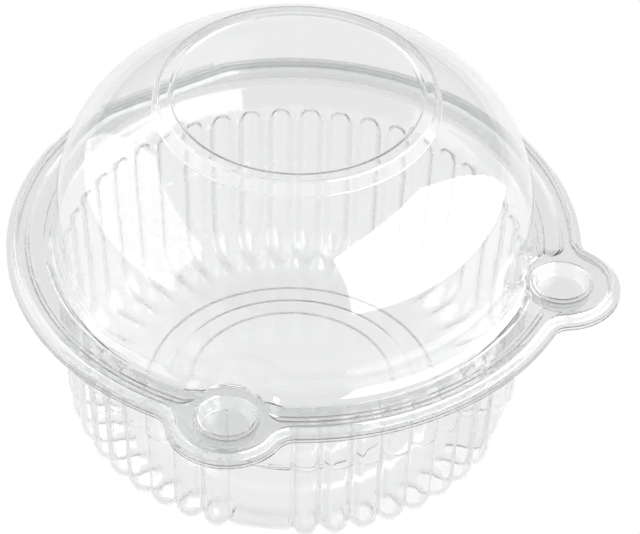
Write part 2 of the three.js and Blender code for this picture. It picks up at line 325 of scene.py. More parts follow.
def clear_sheet(name, slant_tint_and_shade):
    """Glossy clear plastic with faint forming waves, tinted, partly with painted shade, where
    seen at a slant.
    """
    material = bpy.data.materials.new(name)
    material.use_nodes = True
    nodes = material.node_tree.nodes
    links = material.node_tree.links
    sheet = nodes["Principled BSDF"]
    slant = nodes.new("ShaderNodeLayerWeight")
    slant.inputs["Blend"].default_value = SLANT_BLEND
    steep = nodes.new("ShaderNodeMath")
    steep.operation = "POWER"
    steep.inputs[1].default_value = SLANT_POWER
    # Darker colour at a slant: partly loss in the plastic, partly painted shade.
    tint = nodes.new("ShaderNodeMix")
    tint.data_type = "RGBA"
    tint.inputs["A"].default_value = SHEET_TINT
    tint.inputs["B"].default_value = slant_tint_and_shade
    links.new(slant.outputs["Facing"], steep.inputs[0])
    links.new(steep.outputs[0], tint.inputs["Factor"])
    links.new(tint.outputs["Result"], sheet.inputs["Base Color"])
    sheet.inputs["Transmission Weight"].default_value = 1.0
    sheet.inputs["IOR"].default_value = SHEET_IOR
    place = nodes.new("ShaderNodeTexCoord")
    waves = nodes.new("ShaderNodeTexNoise")
    waves.inputs["Scale"].default_value = WAVE_SCALE
    waves.inputs["Detail"].default_value = WAVE_DETAIL
    bump = nodes.new("ShaderNodeBump")
    bump.inputs["Strength"].default_value = WAVE_STRENGTH
    bump.inputs["Distance"].default_value = WAVE_HEIGHT
    marks = nodes.new("ShaderNodeTexNoise")
    marks.inputs["Scale"].default_value = MARK_SCALE
    marks.inputs["Detail"].default_value = MARK_DETAIL
    gloss = nodes.new("ShaderNodeMapRange")
    gloss.inputs["From Min"].default_value = MARK_START
    gloss.inputs["From Max"].default_value = MARK_END
    gloss.inputs["To Min"].default_value = SHEET_ROUGHNESS
    gloss.inputs["To Max"].default_value = MARKED_ROUGHNESS
    links.new(place.outputs["Object"], waves.inputs["Vector"])
    links.new(place.outputs["Object"], marks.inputs["Vector"])
    links.new(waves.outputs["Fac"], bump.inputs["Height"])
    links.new(bump.outputs["Normal"], sheet.inputs["Normal"])
    links.new(marks.outputs["Fac"], gloss.inputs["Value"])
    links.new(gloss.outputs["Result"], sheet.inputs["Roughness"])
    let_through = nodes.new("ShaderNodeBsdfTransparent")
    let_through.inputs["Color"].default_value = SHADOW_TINT
    light_path = nodes.new("ShaderNodeLightPath")
    mix = nodes.new("ShaderNodeMixShader")
    output = nodes["Material Output"]
    links.new(light_path.outputs["Is Shadow Ray"], mix.inputs[0])
    links.new(sheet.outputs[0], mix.inputs[1])
    links.new(let_through.outputs[0], mix.inputs[2])
    links.new(mix.outputs[0], output.inputs["Surface"])
    return material


base_plastic = clear_sheet("clear_sheet_base", BASE_SLANT_TINT_AND_SHADE)
lid_plastic = clear_sheet("clear_sheet_lid", LID_SLANT_TINT_AND_SHADE)
print("clear sheets:", base_plastic.name, lid_plastic.name)

# %% [markdown]
# ## Sections and rings
#
# Both halves are nearly round, so each is built from rings. A ring holds one point for
# each azimuth, given by its distance from the axis and its height. Strips of faces join
# one ring to the next. Where the real sheet has a rounded corner, a short curve between
# two straight runs of the section gives it. All sizes below are millimetres until the
# mesh is made, because the real box is measured that way.

# %% Sizes of the sheet and the rim
MILLIMETRE = 0.001
FILM = 0.35
CLEARANCE = 0.3
NEST = FILM + CLEARANCE

RIM_HEIGHT = 42.0
RIM_RADIUS = 54.0
BEAD_WIDTH = 2.6
BEAD_HEIGHT = 0.9
BEAD_SLOPE = 0.5
BEAD_FLAT = 0.5
SKIRT_FLARE = 0.5
LIP_DROP = 1.65
LIP_WIDTH = 1.6
LIP_HEIGHT = RIM_HEIGHT - LIP_DROP

TAB_ANGLE = math.radians(44.5)
TAB_DISTANCE = 52.6
TAB_RADIUS = 9.8
TAB_FILLET = 5.0
BAY_RADIUS = 7.1
BAY_FILLET = 3.0

HINGE_LINE = 52.2
HINGE_REACH = 3.4
HINGE_AXIS_Y = HINGE_LINE + HINGE_REACH
HINGE_HALF_ANGLE = math.radians(13.4)
HINGE_BLEND = math.radians(0.6)
HINGE_FAR_ANGLE = math.pi / 3

FRONT_ANGLE = math.radians(270)
HINGE_ANGLE = math.radians(90)
TABS = (FRONT_ANGLE - TAB_ANGLE, FRONT_ANGLE + TAB_ANGLE)
print("lip to lip", 2 * (RIM_RADIUS + LIP_WIDTH), "mm, rim", RIM_HEIGHT, "mm up")


# %% Helpers for angles and smooth steps
def turn(angle, start):
    """Signed angle from start to angle, between minus and plus half a turn."""
    return (angle - start + math.pi) % (2 * math.pi) - math.pi


def smooth_step(low, high, value):
    """0 below low, 1 above high, and a smooth curve between."""
    share = np.clip((value - low) / (high - low), 0, 1)
    return share * share * (3 - 2 * share)


def nearest_tab(angle):
    """Angle to the nearer of the two tabs, without its sign."""
    return np.minimum(abs(turn(angle, TABS[0])), abs(turn(angle, TABS[1])))


def fillet_angle(centre, reach):
    """Azimuth, from the tab, of the middle of a fillet between the rim and the tab."""
    top = centre ** 2 + TAB_DISTANCE ** 2 - reach ** 2
    return math.acos(top / (2 * centre * TAB_DISTANCE))


print("tabs at", [round(math.degrees(tab), 1) for tab in TABS], "degrees")


# %% [markdown]
# ## The outline of the rim
#
# Seen from above, the rim is a circle with a straight edge at the hinge and two round
# tabs, and each tab runs into the circle with a small fillet. All these are arcs and
# lines, so a parallel outline at any offset has an exact form too: the tab's radius grows
# by the offset and the fillet's shrinks by it. The bead's inner edge is made the same
# way, with two bays that go round the buttons.

# %% Outline of the rim and of the bead
def along_ray(distance, radius, angle, sign):
    """Where a ray from the axis meets a circle whose centre is at this distance."""
    across = distance * np.sin(angle)
    half = np.sqrt(np.maximum(radius ** 2 - across ** 2, 0))
    return distance * np.cos(angle) + sign * half


def rounded_outline(angle, rim, tab, fillet, offset, sign):
    """A circle with a tab (sign 1) or a bay (sign -1) at each snap, moved out by offset."""
    centre = rim + sign * fillet
    leave = fillet_angle(centre, tab + fillet)
    away = nearest_tab(angle)
    share = (tab + sign * offset) / (tab + fillet)
    join_x = TAB_DISTANCE + share * (centre * math.cos(leave) - TAB_DISTANCE)
    join_y = share * centre * math.sin(leave)
    on_tab = along_ray(TAB_DISTANCE, tab + sign * offset, away, sign)
    on_fillet = along_ray(centre, fillet - sign * offset, leave - away, -sign)
    radius = np.where(away < np.arctan2(join_y, join_x), on_tab, on_fillet)
    return np.where(away < leave, radius, rim + offset)


def straightened(angle, radius, line):
    """Cuts the ring back to a straight line at the hinge."""
    back = np.minimum(abs(turn(angle, HINGE_ANGLE)), HINGE_FAR_ANGLE)
    return np.where(back < HINGE_FAR_ANGLE, np.minimum(radius, line / np.cos(back)), radius)


def outline(angle, offset):
    """Outer edge of the rim."""
    radius = rounded_outline(angle, RIM_RADIUS, TAB_RADIUS, TAB_FILLET, offset, 1)
    return straightened(angle, radius, HINGE_LINE + offset)


def bead_inner(angle, offset):
    """Inner edge of the bead."""
    inner = RIM_RADIUS - BEAD_WIDTH
    radius = rounded_outline(angle, inner, BAY_RADIUS, BAY_FILLET, offset, -1)
    return straightened(angle, radius, HINGE_LINE - BEAD_WIDTH + offset)


def lip_edge(angle):
    """Outer edge of the lip, which at the hinge reaches out as a straight leaf."""
    back = abs(turn(angle, HINGE_ANGLE))
    leaf = (HINGE_AXIS_Y - CLEARANCE / 2) / np.cos(np.minimum(back, HINGE_FAR_ANGLE))
    share = smooth_step(HINGE_HALF_ANGLE, HINGE_HALF_ANGLE + HINGE_BLEND, back)
    return leaf + (outline(angle, LIP_WIDTH) - leaf) * share


LIFT_START = 0.72
LIFT_END = 1.08


def flange_lift(angle):
    """In front of each button the flange rises to the level of the bead's top."""
    inner = RIM_RADIUS - BEAD_WIDTH
    leave = fillet_angle(inner - BAY_FILLET, BAY_RADIUS + BAY_FILLET)
    fall = smooth_step(leave * LIFT_START, leave * LIFT_END, nearest_tab(angle))
    return BEAD_HEIGHT * (1 - fall)


print("rim reaches", round(float(outline(np.array(TABS[0]), 0)), 1), "mm at a tab")


# %% [markdown]
# ## Azimuths
#
# The rings need many points where the sheet bends sharply sideways, and few elsewhere.
# The wall has fourteen points for each flute, most of them on the narrow ridge between
# two flutes and few on the flute's broad face. The rims have evenly spread points, with
# extra ones where the tabs swell out of the circle and where the hinge's leaf ends.

# %% Choose the azimuths
FLUTES = 46
FLUTE_PITCH = 2 * math.pi / FLUTES
FLUTE_HALF_POINTS = (0.04, 0.08, 0.14, 0.2, 0.26, 0.34)
RIM_POINTS = 200
FLOOR_POINT_STEP = 0.25
TAB_MARKS = np.radians(np.concatenate([np.arange(2, 7, 1.2), np.arange(7.4, 14.4, 0.4)]))
LEAF_END_MARKS = np.array([-0.1, 0, 0.3, 0.5, 0.7, 1, 1.2])
CLOSEST_POINTS = math.radians(0.05)


def rim_marks():
    """Azimuths that follow the tabs and the ends of the hinge's leaf."""
    ends = HINGE_HALF_ANGLE + HINGE_BLEND * LEAF_END_MARKS
    marks = [tab + sign * TAB_MARKS for tab in TABS for sign in (-1, 1)]
    marks += [HINGE_ANGLE + sign * ends for sign in (-1, 1)]
    return np.concatenate(marks + [np.array(TABS)])


def in_order(angles):
    """Azimuths from 0 to a full turn, without any two that nearly coincide."""
    angles = np.sort(angles % (2 * math.pi))
    gap = np.diff(np.append(angles, angles[0] + 2 * math.pi))
    return angles[gap > CLOSEST_POINTS]


half = np.array(FLUTE_HALF_POINTS)
flute_points = np.concatenate([[0, 0.5], half, 1 - half])
flute_places = np.add.outer(np.arange(FLUTES), flute_points).ravel()
cup_angles = in_order(FRONT_ANGLE + FLUTE_PITCH * flute_places)
even_angles = np.linspace(0, 2 * math.pi, RIM_POINTS, endpoint=False)
rim_angles = in_order(np.concatenate([even_angles, rim_marks()]))
floor_places = np.arange(0, FLUTES, FLOOR_POINT_STEP)
floor_angles = in_order(FRONT_ANGLE + FLUTE_PITCH * floor_places)
print("azimuths: wall", len(cup_angles), "rims", len(rim_angles), "floor", len(floor_angles))


# %% [markdown]
# ## A builder for a formed sheet
#
# The builder collects points and faces for one mesh. It knows a few moves: a ring of
# points, a strip of faces between two rings, a fan that closes a ring's middle, a small
# lathe for the pocket of a button, and a flat patch that fills the space between two
# rings but leaves round holes in it.
#
# The patch is the interesting one. The top of the bead is flat but has no regular grid,
# because it swells at the tabs and has a hole for each button. A constrained Delaunay
# triangulation fills any such shape, with its given edges kept.

# %% Sheet builder
POCKET_POINTS = 40
SAME_PLACE = 1e-9
MERGE_DISTANCE = 1e-6


class SheetBuilder:
    """Collects the upper skin of a formed sheet, in millimetres."""

    def __init__(self):
        self.points = []
        self.faces = []

    def ring(self, angles, radius, height):
        """Adds one ring of points and returns it as (azimuths, first index)."""
        start = len(self.points)
        radius = np.broadcast_to(radius, angles.shape)
        height = np.broadcast_to(height, angles.shape)
        xs = radius * np.cos(angles)
        ys = radius * np.sin(angles)
        self.points.extend(zip(xs.tolist(), ys.tolist(), height.tolist()))
        return angles, start

    def strip(self, inner, outer):
        """Joins two rings with faces. They may have different numbers of points."""
        angles_in, start_in = inner
        angles_out, start_out = outer
        count_in = len(angles_in)
        count_out = len(angles_out)
        if count_in == count_out:
            for i in range(count_in):
                k = (i + 1) % count_in
                self.faces.append((start_in + i, start_out + i, start_out + k, start_in + k))
            return
        i = 0
        j = 0
        while i < count_in or j < count_out:
            next_in = angles_in[(i + 1) % count_in] + 2 * math.pi * ((i + 1) // count_in)
            next_out = angles_out[(j + 1) % count_out] + 2 * math.pi * ((j + 1) // count_out)
            a = start_in + i % count_in
            b = start_out + j % count_out
            if j < count_out and (i >= count_in or next_out <= next_in + SAME_PLACE):
                self.faces.append((a, b, start_out + (j + 1) % count_out))
                j += 1
            else:
                self.faces.append((a, b, start_in + (i + 1) % count_in))
                i += 1

    def section(self, angles, corners):
        """Adds a ring for each (radius, height) of a section and joins them in turn."""
        rings = [self.ring(angles, radius, height) for radius, height in corners]
        for inner, outer in zip(rings, rings[1:]):
            self.strip(inner, outer)
        return rings[0], rings[-1]

    def pole(self, ring, height, centre=(0.0, 0.0)):
        """Closes the middle of a ring with a fan of faces."""
        angles, start = ring
        self.points.append((*centre, height))
        middle = len(self.points) - 1
        count = len(angles)
        for i in range(count):
            self.faces.append((middle, start + i, start + (i + 1) % count))

    def lathe(self, centre, corners):
        """Adds a small round form about a vertical line, from its rim down to its middle."""
        angles = np.linspace(0, 2 * math.pi, POCKET_POINTS, endpoint=False)
        rings = []
        for radius, height in corners:
            start = len(self.points)
            for angle in angles:
                self.points.append((
                    centre[0] + radius * math.cos(angle),
                    centre[1] + radius * math.sin(angle),
                    height,
                ))
            rings.append((angles, start))
        for outer, inner in zip(rings, rings[1:]):
            self.strip(inner, outer)
        self.pole(rings[-1], corners[-1][1], centre)
        return rings[0]

    def patch(self, inner, outer, holes):
        """Fills the flat space between two rings, apart from the holes."""
        indices = []
        edges = []
        for angles, start in (inner, outer, *holes):
            first = len(indices)
            count = len(angles)
            indices.extend(range(start, start + count))
            edges.extend((first + i, first + (i + 1) % count) for i in range(count))
        flat = [Vector(self.points[i][:2]) for i in indices]
        filled = delaunay_2d_cdt(flat, edges, [], 0, MERGE_DISTANCE)
        found, _, triangles, sources, _, _ = filled
        loops = [
            np.array([self.points[start + i][:2] for i in range(len(angles))])
            for angles, start in (inner, outer, *holes)
        ]
        for corners in triangles:
            middle = np.mean([found[c] for c in corners], axis=0)
            inside = [point_inside(middle, loop) for loop in loops]
            if inside[1] and not inside[0] and not any(inside[2:]):
                self.faces.append(tuple(indices[sources[c][0]] for c in corners))


def point_inside(point, loop):
    """True if a point lies inside a closed loop of points."""
    x, y = point
    following = np.roll(loop, -1, axis=0)
    crosses = (loop[:, 1] > y) != (following[:, 1] > y)
    rise = np.where(crosses, following[:, 1] - loop[:, 1], 1)
    at = loop[:, 0] + (y - loop[:, 1]) / rise * (following[:, 0] - loop[:, 0])
    return bool(np.count_nonzero(crosses & (at > x)) % 2)


# %% [markdown]
# ## Rounded corners
#
# A forming mould has no sharp corner, and on clear plastic it is the small rounded edges
# that catch the light as bright lines. A section is therefore written as its corners,
# each with the length that the rounding takes off both sides of it. A quadratic curve
# then replaces the corner. It touches both straight runs, so no crease shows where it
# starts.

# %% Round the corners of a section
LONGEST_CUT = 0.46


def rounded(corners, steps=4):
    """Replaces each (radius, height, cut) corner by a short curve when its cut isn't 0."""
    places = []
    for radius, height, _ in corners:
        pair = np.broadcast_arrays(np.asarray(radius, float), np.asarray(height, float))
        places.append(np.stack(pair, axis=-1))
    size = np.broadcast_shapes(*(place.shape for place in places))
    places = [np.broadcast_to(place, size) for place in places]
    made = [places[0]]
    for before, corner, after, (_, _, cut) in zip(places, places[1:], places[2:], corners[1:]):
        if cut == 0:
            made.append(corner)
            continue
        ends = []
        for other in (before, after):
            away = other - corner
            length = np.linalg.norm(away, axis=-1, keepdims=True)
            reach = np.minimum(cut / np.maximum(length, SAME_PLACE), LONGEST_CUT)
            ends.append(corner + away * reach)
        for share in np.linspace(0, 1, steps + 1):
            bend = (1 - share) ** 2 * ends[0] + 2 * share * (1 - share) * corner
            made.append(bend + share ** 2 * ends[1])
    made.append(places[-1])
    return [(place[..., 0], place[..., 1]) for place in made]


# %% [markdown]
# ## Thickness
#
# Solidify gives the skin its two sides. It works from the middle of the film, so the
# points move down by half a film first, and level faces keep their height. The modifier
# is applied, because only then can the thin edge of the lip be marked as sharp. Without
# that, smooth shading would run over the edge and leave dark lines on clear plastic.

# %% Turn a builder's skin into a sheet with thickness
SHARP_EDGE = math.radians(50)
LARGE_FACES_FIRST = 100


def formed_sheet(name, builder, material):
    """One closed sheet, a film thick, whose level parts have the builder's skin on top."""
    mesh = bpy.data.meshes.new(name)
    middle = np.array(builder.points) - np.array([0, 0, FILM / 2])
    mesh.from_pydata((middle * MILLIMETRE).tolist(), [], builder.faces)
    mesh.materials.append(material)
    sheet = bpy.data.objects.new(name, mesh)
    scene.collection.objects.link(sheet)
    shaper = bmesh.new()
    shaper.from_mesh(mesh)
    bmesh.ops.remove_doubles(shaper, verts=shaper.verts, dist=MERGE_DISTANCE)
    bmesh.ops.recalc_face_normals(shaper, faces=shaper.faces)
    if sum(face.normal.z * face.calc_area() for face in shaper.faces) < 0:
        bmesh.ops.reverse_faces(shaper, faces=shaper.faces)
    shaper.to_mesh(mesh)
    shaper.free()
    mesh.shade_smooth()
    thicken = sheet.modifiers.new("film_thickness", "SOLIDIFY")
    thicken.thickness = FILM * MILLIMETRE
    thicken.offset = 0
    thicken.use_even_offset = False
    depsgraph = bpy.context.evaluated_depsgraph_get()
    sheet.data = bpy.data.meshes.new_from_object(sheet.evaluated_get(depsgraph))
    sheet.modifiers.clear()
    sheet.data.set_sharp_from_angle(angle=SHARP_EDGE)
    flatten = sheet.modifiers.new("flat_faces_stay_flat", "WEIGHTED_NORMAL")
    flatten.weight = LARGE_FACES_FIRST
    flatten.keep_sharp = True
    print(name, "both skins:", len(sheet.data.polygons), "faces")
    return sheet


# %% [markdown]
# ## The cup
#
# The wall stands in 46 narrow flutes that make thin sheet stiff. Each has a level face
# on the outside, and a narrow ridge stands inwards between each two. The faces have
# rounded tops below the smooth band, curl under the foot and fade out on the floor. A
# small ledge runs round the wall at half height, and two plain panels near the front
# carry no flutes. The floor rises in two steps inside the ring that the cup stands on,
# with a fine raised ring between the steps.
#
# Seen in plan, the ridge is a small arc that runs through a steep flank into the gently
# curved face. Round the foot the relief is deeper and rounder, so that each face ends in
# a petal, and the ridges between the petals fade out on the floor.

# %% Sizes of the cup
MOUTH_RADIUS = 47.1
WALL_TOP_RADIUS = 46.3
WALL_FOOT_RADIUS = 44.4
FOOT_ROUNDING = 6.0
FOOT_RINGS = 10
MOUTH_DEPTH = 3.4
FLUTE_DEPTH = 1.8
BAND_INSET = 1.2
FLUTE_TOP_DEPTH = 6.2
FLUTE_CORNER = 1.2
RIDGE_PLACES = (0, 0.04, 0.08, 0.14, 0.2, 0.26, 0.34, 0.5)
RIDGE_RISES = (0, 0.03, 0.13, 0.38, 0.64, 0.84, 0.95, 1.0)
FACE_EDGE = 0.2
PETAL_DEEPENING = 1.15
LEDGE_HEIGHT = 21.5
LEDGE_RISE = 0.9
LEDGE_WIDTH = 0.6
FLUTE_LEDGE_WIDTH = 0.3
PANEL_FLUTES = (4, 6)
PANEL_LEVEL = 0.4
PANEL_BLEND = 0.1
STAND_OUTER = 32.6
STAND_INNER = 29.6
STEP_RUN = 0.9
MIDDLE_RING = 24.4
MIDDLE_STEP = 1.1
CENTRE_DISC = 20.0
CENTRE_STEP = 0.8
print("cup", 2 * WALL_TOP_RADIUS, "mm wide at the top,", 2 * WALL_FOOT_RADIUS, "at the foot")


# %% Shape of a flute
def on_panel(angle):
    """1 on the two plain panels and 0 elsewhere."""
    place = abs(turn(angle, FRONT_ANGLE)) / FLUTE_PITCH
    starts, ends = (
        smooth_step(edge - PANEL_BLEND, edge + PANEL_BLEND, place) for edge in PANEL_FLUTES
    )
    return starts - ends


def from_ridge(angle):
    """Distance from the nearest ridge, as a share of the pitch from 0 to a half."""
    place = (turn(angle, FRONT_ANGLE) / FLUTE_PITCH) % 1
    return np.minimum(place, 1 - place)


def flute_shape(angle):
    """0 on a ridge between two flutes, 1 on a flute's face, and level on the panels."""
    flute = np.interp(from_ridge(angle), RIDGE_PLACES, RIDGE_RISES)
    return flute + (PANEL_LEVEL - flute) * on_panel(angle)


def petal_shape(angle):
    """Like flute_shape, but round all the way from ridge to ridge, as at the foot."""
    petal = np.sin(math.pi * from_ridge(angle)) ** 2
    return petal + (PANEL_LEVEL - petal) * on_panel(angle)


def wall_radius(height, ledge_width=FLUTE_LEDGE_WIDTH):
    """Radius of the wall on the flutes' faces. A narrow ledge leaves more to the slope."""
    run = RIM_HEIGHT - MOUTH_DEPTH - FOOT_ROUNDING
    slope = (WALL_TOP_RADIUS - LEDGE_WIDTH - WALL_FOOT_RADIUS) / run
    climb = height - FOOT_ROUNDING
    ledge = ledge_width * smooth_step(LEDGE_HEIGHT, LEDGE_HEIGHT + LEDGE_RISE, height)
    extra_slope = (LEDGE_WIDTH - ledge_width) * np.clip(climb / run, 0, 1)
    return WALL_FOOT_RADIUS + slope * climb + ledge + extra_slope


# %% Build the cup's floor
CENTRE_RING = 9.0
CENTRE_ROUNDING = 0.35
RIDGE_HALF_WIDTH = 0.5
RIDGE_HEIGHT = 0.22
RIDGE_ROUNDING = 0.2
STAND_ROUNDING = 0.4
STAND_SECTION_END = 1.2

cup = SheetBuilder()
floor_top = FILM
centre_top = floor_top + MIDDLE_STEP + CENTRE_STEP
middle_top = centre_top - CENTRE_STEP
floor_section = rounded([
    (CENTRE_RING, centre_top, 0),
    (CENTRE_DISC, centre_top, CENTRE_ROUNDING),
    (CENTRE_DISC + STEP_RUN, middle_top, CENTRE_ROUNDING),
    (MIDDLE_RING - RIDGE_HALF_WIDTH, middle_top, RIDGE_ROUNDING),
    (MIDDLE_RING, middle_top + RIDGE_HEIGHT, RIDGE_ROUNDING),
    (MIDDLE_RING + RIDGE_HALF_WIDTH, middle_top, RIDGE_ROUNDING),
    (STAND_INNER - STEP_RUN, middle_top, STAND_ROUNDING),
    (STAND_INNER, floor_top, STAND_ROUNDING),
    (STAND_OUTER - STAND_SECTION_END, floor_top, 0),
], steps=3)
floor_first, floor_last = cup.section(floor_angles, floor_section)
cup.pole(floor_first, centre_top)
print("floor has", len(floor_section), "rings")

# %% Build the foot and the fluted wall
STAND_EDGE = 0.4
FADE_RINGS = 6
FADE_MARGIN = 1
WALL_RING_HEIGHTS = (9.5, 14, 18.5, 20.9, 21.3, 21.6, 21.9, 22.2, 22.5, 23.1, 27, 31)
FLUTE_END_DROPS = (1.5, 1.15, 0.95, 0.35, 0.15, 0)
FLUTE_END_SHARES = (1.0, 0.97, 0.85, 0.15, 0.03, 0)

relief = FLUTE_DEPTH * (1 - flute_shape(cup_angles))
petal_relief = FLUTE_DEPTH * PETAL_DEEPENING * (1 - petal_shape(cup_angles))
ledge_width = FLUTE_LEDGE_WIDTH + (LEDGE_WIDTH - FLUTE_LEDGE_WIDTH) * on_panel(cup_angles)


def foot_point(lean):
    """Point of the rounded foot: lean is a quarter turn at the floor and 0 at the wall."""
    inset = relief + (petal_relief - relief) * math.sin(lean) ** 2
    radius = WALL_FOOT_RADIUS - FOOT_ROUNDING * (1 - math.cos(lean)) - inset * math.cos(lean)
    height = floor_top + FOOT_ROUNDING * (1 - math.sin(lean)) + inset * math.sin(lean)
    return radius, height


foot_start = WALL_FOOT_RADIUS - FOOT_ROUNDING
cup_rings = [(STAND_OUTER - STAND_EDGE, floor_top)]
for radius in np.linspace(STAND_OUTER, foot_start, FADE_RINGS)[:-1]:
    fade = float(smooth_step(STAND_OUTER + FADE_MARGIN, foot_start, radius))
    cup_rings.append((radius, floor_top + petal_relief * fade))
for lean in np.linspace(math.pi / 2, 0, FOOT_RINGS):
    cup_rings.append(foot_point(lean))

for height in WALL_RING_HEIGHTS:
    radius = wall_radius(height, ledge_width) - relief
    cup_rings.append((radius, np.full_like(relief, height)))

flute_top = RIM_HEIGHT - FLUTE_TOP_DEPTH
corner_width = FLUTE_CORNER / (FLUTE_PITCH * WALL_TOP_RADIUS)
into_corner = np.clip((FACE_EDGE + corner_width - from_ridge(cup_angles)) / corner_width, 0, 1)
face_top = flute_top - FLUTE_CORNER * into_corner ** 2
for drop, share in zip(FLUTE_END_DROPS, FLUTE_END_SHARES):
    height = face_top - drop
    radius = wall_radius(height, ledge_width) - BAND_INSET * (1 - share) - relief * share
    cup_rings.append((radius, height))
cup_wall_first, cup_wall_last = cup.section(cup_angles, cup_rings)
cup.strip(floor_last, cup_wall_first)
print("cup wall has", len(cup_rings), "rings")

# %% [markdown]
# ## The cup's rim
#
# Above the flutes a smooth band opens a little towards the mouth, and a level flange runs
# out to the bead. The bead, its skirt and the small lip make the edge stiff and catch the
# lid. The mouth keeps clear of the buttons, whose pockets hang down into the tabs, so
# near them the band is pulled inwards a trifle.

# %% Helpers for the buttons and the mouth
BUTTON_RADIUS = 5.3
BUTTON_DRAFT = 0.5
BUTTON_DEPTH = 3.0
POCKET_EDGE = 0.75
POCKET_TOP_ROUNDING = 0.55
POCKET_FOOT_ROUNDING = 0.6
POCKET_LAST_RING = 0.8


def clear_of_pocket(angle, radius, gap):
    """Keeps a ring of the mouth this far inside the bay of the bead."""
    return np.minimum(radius, bead_inner(angle, -gap))


def button_pocket(builder, top, mouth):
    """Sinks the round pocket of each button and returns the loops round their mouths."""
    loops = []
    bottom = mouth - BUTTON_DRAFT
    for tab in TABS:
        centre = (TAB_DISTANCE * math.cos(tab), TAB_DISTANCE * math.sin(tab))
        corners = rounded([
            (mouth + POCKET_EDGE, top, 0),
            (mouth, top, POCKET_TOP_ROUNDING),
            (bottom, top - BUTTON_DEPTH, POCKET_FOOT_ROUNDING),
            (POCKET_LAST_RING, top - BUTTON_DEPTH, 0),
        ])
        pairs = [(float(radius), float(height)) for radius, height in corners]
        loops.append(builder.lathe(centre, pairs))
    return loops


print("buttons", 2 * BUTTON_RADIUS, "mm wide and", BUTTON_DEPTH, "mm deep")

# %% Run the cup's rim out from the wall to the bead
MOUTH_GAP = 0.85
BAND_GAP = 1.1
BAND_FOOT_RISE = 0.5
BAND_FOOT_RUN = 0.1
BUTTON_SHIFT = 0.9
BUTTON_STEEPER = 0.6
BAND_ROUNDING = 0.8
MOUTH_ROUNDING = 0.45
FLANGE_ROUNDING = 0.3
CUP_BEAD_ROUNDING = 0.35

lift = flange_lift(rim_angles)
at_button = lift / BEAD_HEIGHT
flange_top = RIM_HEIGHT - BEAD_HEIGHT - NEST + lift
bead_top = RIM_HEIGHT - NEST
mouth = clear_of_pocket(rim_angles, MOUTH_RADIUS, MOUTH_GAP)
# Beside a button, the bead's edge moves inwards and its slope is steeper.
edge_offset = NEST - BUTTON_SHIFT * at_button
foot_offset = edge_offset - BEAD_SLOPE * (1 - BUTTON_STEEPER * at_button)
bead_foot = bead_inner(rim_angles, foot_offset)
bead_edge = bead_inner(rim_angles, edge_offset)
band = clear_of_pocket(rim_angles, wall_radius(RIM_HEIGHT - MOUTH_DEPTH), BAND_GAP)
band_foot = wall_radius(flute_top) - BAND_INSET + BAND_FOOT_RUN
inner_run = rounded([
    (band_foot, np.full_like(rim_angles, flute_top + BAND_FOOT_RISE), 0),
    (band, np.full_like(rim_angles, RIM_HEIGHT - MOUTH_DEPTH), BAND_ROUNDING),
    (mouth, flange_top, MOUTH_ROUNDING),
    (bead_foot, flange_top, FLANGE_ROUNDING),
    (bead_edge, bead_top, CUP_BEAD_ROUNDING),
    (bead_edge + BEAD_FLAT, np.full_like(rim_angles, bead_top), 0),
], steps=3)
rim_first, rim_inner = cup.section(rim_angles, inner_run)
cup.strip(cup_wall_last, rim_first)
print("cup's rim has", len(inner_run), "rings inside the bead's top")

# %% Add the cup's skirt and lip, and close the bead's top
CUP_SKIRT_EDGE = 0.7
CUP_SKIRT_ROUNDING = 0.55
LIP_ROUNDING = 0.35

cup_lip = np.full_like(rim_angles, LIP_HEIGHT - NEST)
outer_run = rounded([
    (outline(rim_angles, -NEST - CUP_SKIRT_EDGE), np.full_like(rim_angles, bead_top), 0),
    (outline(rim_angles, -NEST), np.full_like(rim_angles, bead_top), CUP_SKIRT_ROUNDING),
    (outline(rim_angles, SKIRT_FLARE - NEST), cup_lip, LIP_ROUNDING),
    (lip_edge(rim_angles), cup_lip, 0),
])
rim_outer, _ = cup.section(rim_angles, outer_run)
cup.patch(rim_inner, rim_outer, button_pocket(cup, bead_top, BUTTON_RADIUS + NEST))
cup_sheet = formed_sheet("cup_sheet", cup, base_plastic)

# %% [markdown]
# ## The lid
#
# The lid's dome is steep at the side and flat on top, so a superellipse is a closer match
# than part of a sphere. It flares outwards where it meets the flange. The crown ends in a
# raised disc with a small step round it and a shallow recess inside. The flange, bead,
# skirt and lip repeat the cup's, one film and one clearance above them, so that the two
# nest.

# %% Sizes and curve of the dome
DOME_HEIGHT = 34.8
DOME_FOOT_RADIUS = 48.4
DOME_WALL_RADIUS = 46.1
DOME_CROWN = 34.4
DOME_POWER = 2.97
DOME_FLARE_HEIGHT = 1.8
BAY_LEAN = 0.35
TOP_STEP_RADIUS = 27.2
TOP_DISC_RADIUS = 26.2
TOP_RECESS_RADIUS = 23.4
TOP_RECESS_DEPTH = 0.5
FLARE_POWER = 2.2


def dome_radius(height):
    """Radius of the dome at a height above the rim."""
    share = np.clip(height, 0, DOME_CROWN) / DOME_CROWN
    crown = DOME_WALL_RADIUS * (1 - share ** DOME_POWER) ** (1 / DOME_POWER)
    flare = np.clip(1 - height / DOME_FLARE_HEIGHT, 0, 1)
    return crown + (DOME_FOOT_RADIUS - DOME_WALL_RADIUS) * flare ** FLARE_POWER


def dome_height(radius):
    """Height of the dome above the rim at a radius."""
    return DOME_CROWN * (1 - (radius / DOME_WALL_RADIUS) ** DOME_POWER) ** (1 / DOME_POWER)


print("dome", DOME_HEIGHT, "mm above the rim,", 2 * DOME_FOOT_RADIUS, "mm wide at its foot")

# %% Build the top disc
DISC_CENTRE_RING = 8.0
RECESS_RUN = 0.6
RECESS_ROUNDING = 0.4
RECESS_EDGE_ROUNDING = 0.3
DISC_ROUNDING = 0.45
STEP_TUCK = 0.2
STEP_ROUNDING = 0.3
STEP_MARGIN = 1.2

